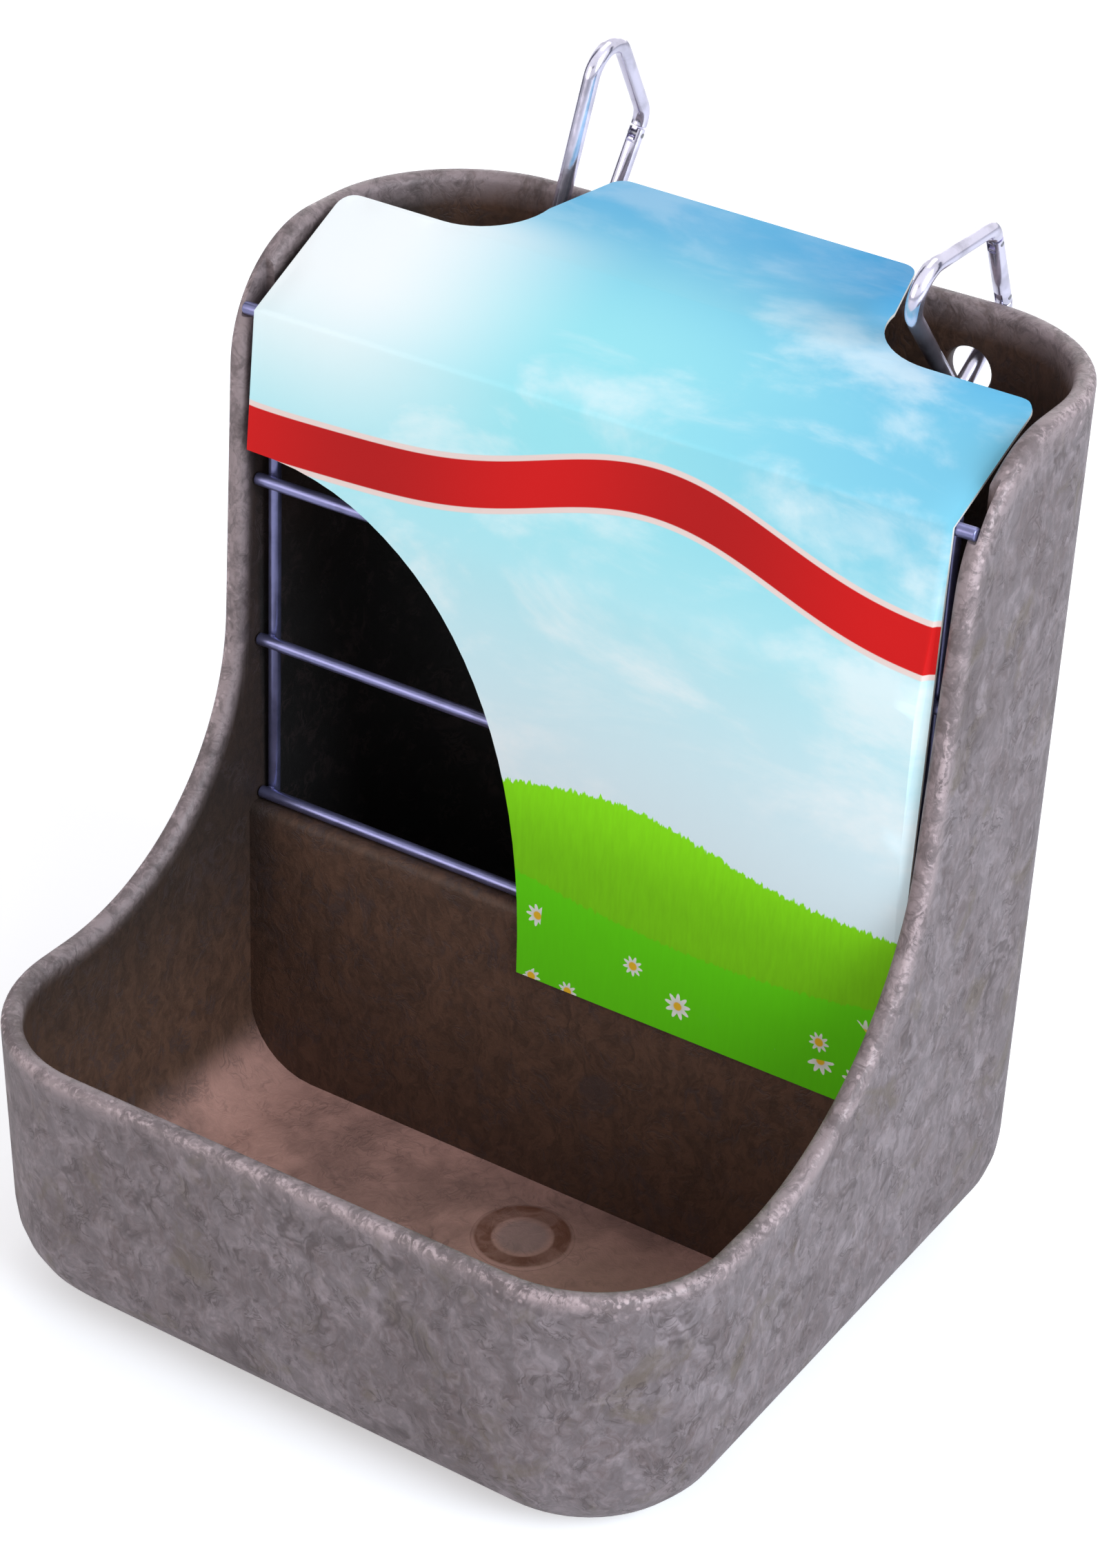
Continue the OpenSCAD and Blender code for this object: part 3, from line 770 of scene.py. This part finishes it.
def mark_bin(mesh):
    """Stores where the bin is inner face, rim, outer edge of rim (worn polish with painted highlight), tray
    floor (painted light), painted shade of rack and lower left inner wall, and gate mark
    """
    co = np.zeros(len(mesh.vertices) * 3)
    mesh.vertices.foreach_get("co", co)
    x, y, z = co.reshape(-1, 3).T / MM
    off = np.hypot(np.maximum(np.abs(x) - CORE, 0), np.maximum(np.abs(y) - CORE, 0))
    depth = wall_offset(z, 0) - off
    outer_c = CORNER_R - (BODY_H - BOTTOM_R) * SLOPE - BOTTOM_R
    arc = BOTTOM_R - np.hypot(np.maximum(off - outer_c, 0), np.maximum(BOTTOM_R - z, 0))
    depth = np.where(z < BOTTOM_R, np.minimum(depth, arc), depth)
    inner = ease(depth, 1.6, 3.4)
    far = rim_distance(y, z)
    rim = 1 - ease(far, 1.2, 4.2)
    # Outer edge of the rim, for a pale line that is worn polish and painted highlight
    edge = (1 - ease(far, 0.3, 1.9)) * (1 - ease(np.abs(depth - 0.6), 0.5, 1.5))
    behind = ease(y, 13.5, 20.5)
    # Painted shade mask: the rack behind the partition, darker below the rim, and the left inner wall low
    # down
    left = (1 - ease(x, -82, -70)) * ease(z, 25, 80) * 0.75
    rack_shade = inner * np.maximum(behind * (1 - ease(z, 120, 192)), left)
    # Tray floor mask, painted lighter as painted light
    floor = inner * (1 - behind) * (1 - ease(z, 5, 26))
    from_gate = np.hypot(x - GATE_MARK[0], y - GATE_MARK[1])
    mark = np.where(z < FLOOR + 1, 1 - np.clip(from_gate / GATE_MARK_R, 0, 1), 0)
    masks = dict(inner=inner, rim=rim, rack_shade=rack_shade, floor=floor, mark=mark, edge=edge)
    for name, values in masks.items():
        layer = mesh.attributes.new(name, "FLOAT", "POINT")
        layer.data.foreach_set("value", values.astype(np.float32))


class FEEDER_OT_bin(bpy.types.Operator):
    """Makes the moulded bin with its partition, notches and holes"""
    bl_idname = "feeder.bin"
    bl_label = "Bin"

    def execute(self, context):
        settings = context.scene.feeder_bin
        disc = [(GATE_MARK_R - inset, lift) for inset, lift in GATE_MARK_LIFT] + list(GATE_DIMPLE)
        steps = [("UNION", partition_mesh()),
                 ("UNION", lathe_mesh(disc, (*GATE_MARK, FLOOR), Matrix.Identity(4), 64))]
        bore = [(r, -h) for r, h in HOLE_SECTION] + list(reversed(HOLE_SECTION))
        level = Matrix.Rotation(radians(90), 4, "X")
        for side in (-1, 1):
            near, far = sorted(side * x for x in NOTCH_X)
            notch = box_mesh((near, NOTCH_Y[0], LEDGE_Z), (far, NOTCH_Y[1], BODY_H + 4), 0.4)
            hole = lathe_mesh(bore, (side * HOLE[0], *HOLE[1:]), level)
            steps += [("DIFFERENCE", notch), ("DIFFERENCE", hole)]
        mesh = cut_or_join(bin_shell(settings.lip / MM), steps)
        mark_bin(mesh)
        mesh.shade_smooth()
        mesh.set_sharp_from_angle(angle=radians(38))
        put("moulded_bin", mesh, [fibre_plastic(settings)], "bin", ["bin_body"])
        return {"FINISHED"}


def arc_path(points, bends, step=radians(7)):
    """Polyline through corners rounded by the given radii, in a plane"""
    path = [points[0]]
    for i in range(1, len(points) - 1):
        back = unit(points[i - 1] - points[i])
        ahead = unit(points[i + 1] - points[i])
        half = acos(float(np.clip(back @ ahead, -1, 1))) / 2
        middle = points[i] + unit(back + ahead) * bends[i] / sin(half)
        start = points[i] + back * bends[i] / tan(half)
        end = points[i] + ahead * bends[i] / tan(half)
        a0 = atan2(*(start - middle)[::-1])
        a1 = atan2(*(end - middle)[::-1])
        sweep = (a1 - a0 + pi) % (2 * pi) - pi
        count = max(3, int(abs(sweep) / step))
        path += [middle + bends[i] * heading(a0 + sweep * k / count) for k in range(count + 1)]
    path.append(points[-1])
    return path


def tube(build, path, side_way, radius, segments, cap):
    """Round rod along a path that lies in a plane, with eased ends"""
    path = [Vector(p) for p in path]
    side_way = Vector(side_way).normalized()
    stations = []
    for i, p in enumerate(path):
        ahead = (path[min(i + 1, len(path) - 1)] - path[max(i - 1, 0)]).normalized()
        stations.append((p, ahead, radius))

    def eased(p, ahead, inwards):
        """Stations of a rounded end, from its face inwards"""
        turns = (0.0, 0.35, 0.75, 1.15)
        rounded = [(p + ahead * inwards * cap * (1 - cos(a)), ahead, radius - cap * (1 - sin(a)))
                   for a in turns]
        return rounded + [(p + ahead * inwards * cap, ahead, radius)]

    stations = eased(*stations[0][:2], 1) + stations[1:-1] + eased(*stations[-1][:2], -1)[::-1]
    rings = []
    for p, ahead, r in stations:
        other = ahead.cross(side_way).normalized()
        rings.append([build.verts.new(p + (side_way * cos(a) + other * sin(a)) * r)
                      for a in (2 * pi * k / segments for k in range(segments))])
    for a, b in zip(rings, rings[1:]):
        for k in range(segments):
            n = (k + 1) % segments
            build.faces.new((a[k], a[n], b[n], b[k]))
    build.faces.new(rings[0])
    build.faces.new(rings[-1])


class FEEDER_OT_guard(bpy.types.Operator):
    """Makes the four level wires and two uprights of the lift-out guard, with their welds"""
    bl_idname = "feeder.guard"
    bl_label = "Wire guard"

    def execute(self, context):
        settings = context.scene.feeder_guard
        finish = plated("guard_plating", settings.plating, 0.3, 0.8)
        r = settings.radius
        for name, (y, z, half) in LEVELS.items():
            build = bmesh.new()
            places = [((-1 + 2 * i / WIRE_STATIONS) * half * MM, y * MM, z * MM)
                      for i in range(WIRE_STATIONS + 1)]
            tube(build, places, (0, 0, 1), r, WIRE_SIDES, WIRE_END)
            wire = mesh_from(f"{name}_wire", build)
            put(f"{name}_wire", wire, [finish], "guard", [f"guard_{name}_wire"])
        back = heading(-GUARD_LEAN)
        along = np.array([-back[1], back[0]])
        foot = GUARD_FOOT + UPRIGHT_BACK * back - r / MM * along
        for side, label in ((-1, "left"), (1, "right")):
            build = bmesh.new()
            places = [Vector((side * UPRIGHT_X, *(foot + along * UPRIGHT_L * i / WIRE_STATIONS))) * MM
                      for i in range(WIRE_STATIONS + 1)]
            tube(build, places, (1, 0, 0), r, WIRE_SIDES, WIRE_END)
            for y, z, _ in LEVELS.values():
                bead = bmesh.ops.create_icosphere(build, subdivisions=3, radius=1.0)["verts"]
                middle = Vector((side * UPRIGHT_X, *(np.array([y, z]) + UPRIGHT_BACK / 2 * back))) * MM
                for v in bead:
                    v.co = middle + Vector([c * k for c, k in zip(v.co, BEAD)]) * MM
            put(f"{label}_upright", mesh_from(f"{label}_upright", build), [finish], "guard",
                [f"guard_{label}_upright"])
        return {"FINISHED"}


def card_path():
    """Places on the card's back face by the distance along it: rounded at both folds"""
    points = [np.array(p) for p in (CARD_FOOT, CARD_BEND, CARD_FOLD, CARD_CREASE, CARD_END)]
    path = np.array(arc_path(points, CARD_BENDS, radians(2)))
    along = np.concatenate([[0], np.cumsum(np.hypot(*np.diff(path, axis=0).T))])
    return path, along


def card_outline(path, along):
    """Outline of the flat card in mm: across, and along from its foot"""
    def at_y(y):
        return float(np.interp(y, path[:, 0], along))

    half, c = CARD_HALF, CARD_CORNER
    width, height, power = WINDOW
    tip = at_y(CARD_END[0])
    flap = at_y(FLAP_Y)
    fold = at_y(CARD_FOLD[0])
    wide = half + CARD_FLARE
    root = flap + TAB_FILLET
    slant = atan2(TAB_ROOT_HALF - TAB_HALF, tip - root)
    quarter = np.linspace(0, pi / 2, 7)
    reach = c * tan((pi / 2 - slant) / 2)
    right = [(wide, fold)] + [(wide - c + c * cos(a), flap - c + c * sin(a)) for a in quarter]
    right += [(TAB_ROOT_HALF + TAB_FILLET - TAB_FILLET * sin(a), root - TAB_FILLET * cos(a))
              for a in np.linspace(0, pi / 2, 13)]
    right += [(TAB_HALF - reach + c * cos(a), tip - c + c * sin(a))
              for a in np.linspace(slant, pi / 2, 7)]
    outline = [(width - half, 0.0)]
    outline += [(half - c + c * sin(a), c - c * cos(a)) for a in quarter]
    outline += right
    outline += [(-x, l) for x, l in reversed(right)]
    left_of_window = half + CARD_FLARE * height / fold
    for i in range(24):
        turn = radians(90 * (1 - i / 24))
        place = (width * cos(turn) ** (2 / power) - half, height * sin(turn) ** (2 / power))
        outline.append((-left_of_window, place[1]) if i == 0 else place)
    return outline


class FEEDER_OT_card(bpy.types.Operator):
    """Makes the folded display card with its window, flap and tab"""
    bl_idname = "feeder.card"
    bl_label = "Display card"

    def execute(self, context):
        settings = context.scene.feeder_card
        path, along = card_path()
        outline = card_outline(path, along)
        verts = [Vector(p) for p in outline]
        edges = [(i, (i + 1) % len(verts)) for i in range(len(verts))]
        for l in sorted(set(along.tolist() + np.arange(4, along[-1], 4.0).tolist())):
            verts += [Vector((x, l)) for x in np.arange(-80, 80.1, 5)]
        flat, _, faces, *_ = geometry.delaunay_2d_cdt(verts, edges, [], 1, 1e-5)
        tangents = np.gradient(path, axis=0)
        tangents /= np.hypot(*tangents.T)[:, None]

        def place(x, l, out):
            y, z, ty, tz = (np.interp(l, along, column) for column in (*path.T, *tangents.T))
            n = hypot(ty, tz)
            rise = -x * np.interp(y, *CARD_TWIST)
            return Vector((x, y - out * tz / n, z + rise + out * ty / n)) * MM

        build = bmesh.new()
        uv = build.loops.layers.uv.new("print")
        front = [build.verts.new(place(p.x, p.y, settings.thickness / MM)) for p in flat]
        back = [build.verts.new(place(p.x, p.y, 0)) for p in flat]
        # Edges that only one face has; a dict keeps them in a steady order
        rims = {}
        for face in faces:
            top = build.faces.new([front[i] for i in face])
            under = build.faces.new([back[i] for i in reversed(face)])
            under.material_index = 1
            for loop, i in zip(top.loops, face):
                loop[uv].uv = (flat[i].x / PRINT_UNIT, flat[i].y / PRINT_UNIT)
            for i, j in zip(face, face[1:] + face[:1]):
                if (j, i) in rims:
                    del rims[(j, i)]
                else:
                    rims[(i, j)] = True
        for i, j in rims:
            side = build.faces.new((front[i], back[i], back[j], front[j]))
            side.material_index = 1
        bmesh.ops.delete(build, geom=[v for v in build.verts if not v.link_faces], context="VERTS")
        mesh = mesh_from("folded_card", build, 50)
        faces_of_card = [printed_board(settings), paperboard(settings)]
        put("folded_card", mesh, faces_of_card, "card", ["display_card"])
        return {"FINISHED"}


def hook_place(side, lean, u, v, w):
    """World place of a point of a hook's own plane, w mm out of it"""
    t = radians(lean)
    u = u - HOOK_SHIFT
    h = u * cos(t) + v * sin(t)
    k = -u * sin(t) + v * cos(t)
    base = Vector((side * HOLE[0] + k * sin(HOOK_ROLL), HOLE[1] + h, HOLE[2] + k * cos(HOOK_ROLL)))
    return (base + HOOK_AXIS * w) * MM


def gate_line(along, off=0.0):
    """Point on the gate's line in the hook's plane, measured from its foot, and off to its side"""
    return GATE_FOOT + GATE_WAY * along + GATE_SIDE * off


def plate(build, outline, lift, thickness, bevel):
    """Flat tongue from an outline in the hook's plane, its edges eased"""
    patch = bmesh.new()
    low = [patch.verts.new(lift(u, v, -thickness / 2)) for u, v in outline]
    high = [patch.verts.new(lift(u, v, thickness / 2)) for u, v in outline]
    patch.faces.new(low)
    patch.faces.new(high[::-1])
    count = len(outline)
    for i in range(count):
        j = (i + 1) % count
        patch.faces.new((low[i], high[i], high[j], low[j]))
    bmesh.ops.recalc_face_normals(patch, faces=patch.faces)
    flat = [e for e in patch.edges if e.calc_face_angle(0) > 0.6]
    bmesh.ops.bevel(patch, geom=flat, offset=bevel * MM, segments=2, affect="EDGES", profile=0.5)
    mesh = plain_mesh("patch", patch)
    build.from_mesh(mesh)
    bpy.data.meshes.remove(mesh)


class FEEDER_OT_hooks(bpy.types.Operator):
    """Makes the frames of the two snap hooks and finishes their gates, rivets, springs and pins"""
    bl_idname = "feeder.hooks"
    bl_label = "Snap hooks"

    def execute(self, context):
        settings = context.scene.feeder_hooks
        finish = plated("hook_plating", settings.plating, 0.15, 0.9)
        steel = pin_steel(settings)
        corners = [gate_line(FOOT_END), GATE_FOOT, np.zeros(2), CROWN, NOSE, gate_line(NOSE_END)]
        flat = arc_path([np.array(c, float) for c in corners], (0, *BENDS, 0))
        for label, side in (("left", -1), ("right", 1)):
            def lift(u, v, w=0.0):
                return hook_place(side, HOOK_LEAN[label], u, v, w)

            build = bmesh.new()
            tube(build, [lift(*p) for p in flat], HOOK_AXIS, settings.radius, ROD_SIDES, ROD_END)
            tongue = [gate_line(FOOT_END - TONGUE_ROOT, s * TONGUE_HALF) for s in (1, -1)]
            tongue += [gate_line(HINGE_AT + TONGUE_HALF * sin(a), -TONGUE_HALF * cos(a))
                       for a in np.linspace(0, pi, 13)]
            plate(build, tongue, lift, TONGUE_T, 0.12)
            notch = [gate_line(LATCH_AT + LATCH_R * cos(a), -LATCH_R * sin(a)) for a in np.linspace(0, pi, 9)]
            tongue = [gate_line(NOSE_END + TONGUE_ROOT, s * TONGUE_HALF) for s in (-1, 1)]
            tongue += [gate_line(LATCH_AT + LATCH_R, TONGUE_HALF), *notch]
            tongue += [gate_line(LATCH_AT - LATCH_R, TONGUE_HALF)]
            tongue += [gate_line(TONGUE_END, s * TONGUE_HALF) for s in (1, -1)]
            plate(build, tongue, lift, TONGUE_T, 0.06)
            put(f"{label}_frame", mesh_from(f"{label}_frame", build), [finish], f"{label}_hook",
                [f"{label}_hook_frame"])
            for piece in ("hook_gate", "hinge_rivet", "gate_spring", "gate_plunger", "latch_pin"):
                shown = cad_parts[f"{label}_{piece}"]
                shown.data.materials.clear()
                shown.data.materials.append(finish if piece == "hook_gate" else steel)
                ease_edges = shown.modifiers.new("eased_edges", "BEVEL")
                ease_edges.width = 0.00012
                ease_edges.segments = 2
                ease_edges.limit_method = "ANGLE"
                ease_edges.angle_limit = radians(40)
        return {"FINISHED"}


def backdrop_material(settings):
    made, sheet = new_material("backdrop")
    seen = sheet.node("ShaderNodeLightPath", {}, {}, "Is Camera Ray")
    paper = object_place(sheet).noise(3, 2, 0.5)
    finish_material(sheet, {
        "Base Color": (paper * 0.02).mix(settings.backdrop[:], [0.95, 0.95, 0.95]),
        "Roughness": 0.95,
        "Specular IOR Level": 0.1,
        "Emission Color": (seen * 0.35).mix([0, 0, 0], [1, 1, 1]),
        "Emission Strength": 1.0,
    })
    return made


def flag_material():
    made, sheet = new_material("flag")
    finish_material(sheet, {"Base Color": srgb(12, 16, 48), "Roughness": 0.9, "Specular IOR Level": 0.0})
    return made


def flag(name, middle, size, material):
    """Dark panel that faces the feeder, seen only in reflections"""
    build = bmesh.new()
    bmesh.ops.create_grid(build, x_segments=1, y_segments=1, size=0.5)
    mesh = plain_mesh(name, build)
    mesh.materials.append(material)
    made = new_object(name, mesh)
    made.scale = (*size, 1)
    made.location = middle
    made.rotation_euler = (Vector(FLAG_TARGET) - Vector(middle)).to_track_quat("Z", "Y").to_euler()
    made.visible_camera = False
    made.visible_diffuse = False
    made.visible_shadow = False


def lamp(name, middle, size, power, tint):
    light = bpy.data.lights.new(name, "AREA")
    light.shape = "RECTANGLE"
    light.size, light.size_y = size
    light.energy = power
    light.color = tint
    made = new_object(name, light)
    made.location = middle
    made.rotation_euler = (Vector(middle) - Vector(LAMP_TARGET)).to_track_quat("Z", "Y").to_euler()


def studio():
    """World that is white when seen or reflected, and a soft grey as a light"""
    world = bpy.data.worlds.new("studio")
    world.use_nodes = True
    world.node_tree.nodes.clear()
    sky = Socket(world.node_tree)
    rays = sky.node("ShaderNodeLightPath", {}, {}, "Is Camera Ray")
    glossy, clear = (Socket(sky.tree, rays.out.node.outputs[f"Is {kind} Ray"])
                     for kind in ("Glossy", "Transmission"))
    seen = rays.math("MAXIMUM", glossy * 0.9).math("MAXIMUM", clear)
    tint = seen.mix((0.40, 0.41, 0.45), (1, 1, 1))
    back = sky.node("ShaderNodeBackground", {}, {"Color": tint, "Strength": 1.0})
    sky.node("ShaderNodeOutputWorld", {}, {"Surface": back})
    return world


def photo_camera():
    """Camera at the photo's place, turned and rolled as it was"""
    data = bpy.data.cameras.new("camera")
    data.sensor_fit = "VERTICAL"
    data.sensor_height = 36
    data.lens = LENS
    data.clip_start = 0.01
    camera = new_object("camera", data)
    az, el, roll = (radians(a) for a in CAMERA_TURNS)
    right = Vector((cos(az), sin(az), 0))
    back_way = Vector((sin(az) * cos(el), -cos(az) * cos(el), sin(el)))
    up = back_way.cross(right)
    right_r = right * cos(roll) + up * sin(roll)
    up_r = -right * sin(roll) + up * cos(roll)
    turn = Matrix((right_r, up_r, back_way)).transposed().to_4x4()
    camera.matrix_world = Matrix.Translation(Vector(CAMERA_PLACE) * MM) @ turn
    return camera


class FEEDER_OT_stage(bpy.types.Operator):
    """Adds the floor, the soft lamps, the dark flags and the camera"""
    bl_idname = "feeder.stage"
    bl_label = "Stage"

    def execute(self, context):
        scene = context.scene
        settings = scene.feeder_stage
        scene.view_settings.view_transform = "Standard"
        build = bmesh.new()
        bmesh.ops.create_circle(build, cap_ends=True, segments=96, radius=FLOOR_RADIUS)
        mesh = plain_mesh("floor", build)
        mesh.materials.append(backdrop_material(settings))
        new_object("floor", mesh)
        scene.world = studio()
        for name, (middle, size, share, tint) in LAMPS.items():
            lamp(name, middle, size, settings.key * share, tint)
        dark = flag_material()
        for i, (middle, size) in enumerate(FLAGS):
            flag(f"flag_{i}", middle, size, dark)
        scene.camera = photo_camera()
        return {"FINISHED"}


class FEEDER_PT_panel(bpy.types.Panel):
    """Lists the pieces of the hay feeder"""
    bl_idname = "FEEDER_PT_panel"
    bl_label = "Hay feeder"
    bl_space_type = "VIEW_3D"
    bl_region_type = "UI"
    bl_category = "Hay feeder"

    def draw(self, context):
        for group in GROUPS:
            box = self.layout.box()
            box.operator(group.replace("_", "."))
            settings = getattr(context.scene, group)
            for name in settings.__annotations__:
                box.prop(settings, name)


# Settings by name; the operator's name has a dot for the line
GROUPS = {
    "feeder_bin": FeederBinSettings,
    "feeder_guard": FeederGuardSettings,
    "feeder_card": FeederCardSettings,
    "feeder_hooks": FeederHookSettings,
    "feeder_stage": FeederStageSettings,
}
CLASSES = (*GROUPS.values(), FEEDER_OT_bin, FEEDER_OT_guard, FEEDER_OT_card, FEEDER_OT_hooks,
           FEEDER_OT_stage, FEEDER_PT_panel)


def register():
    for cls in CLASSES:
        bpy.utils.register_class(cls)
    for name, group in GROUPS.items():
        setattr(bpy.types.Scene, name, bpy.props.PointerProperty(type=group))


def unregister():
    for name in GROUPS:
        delattr(bpy.types.Scene, name)
    for cls in reversed(CLASSES):
        bpy.utils.unregister_class(cls)


def main():
    register()
    bpy.ops.feeder.bin()
    bpy.ops.feeder.guard()
    bpy.ops.feeder.card()
    bpy.ops.feeder.hooks()
    bpy.ops.feeder.stage()


if __name__ == "__main__":
    main()
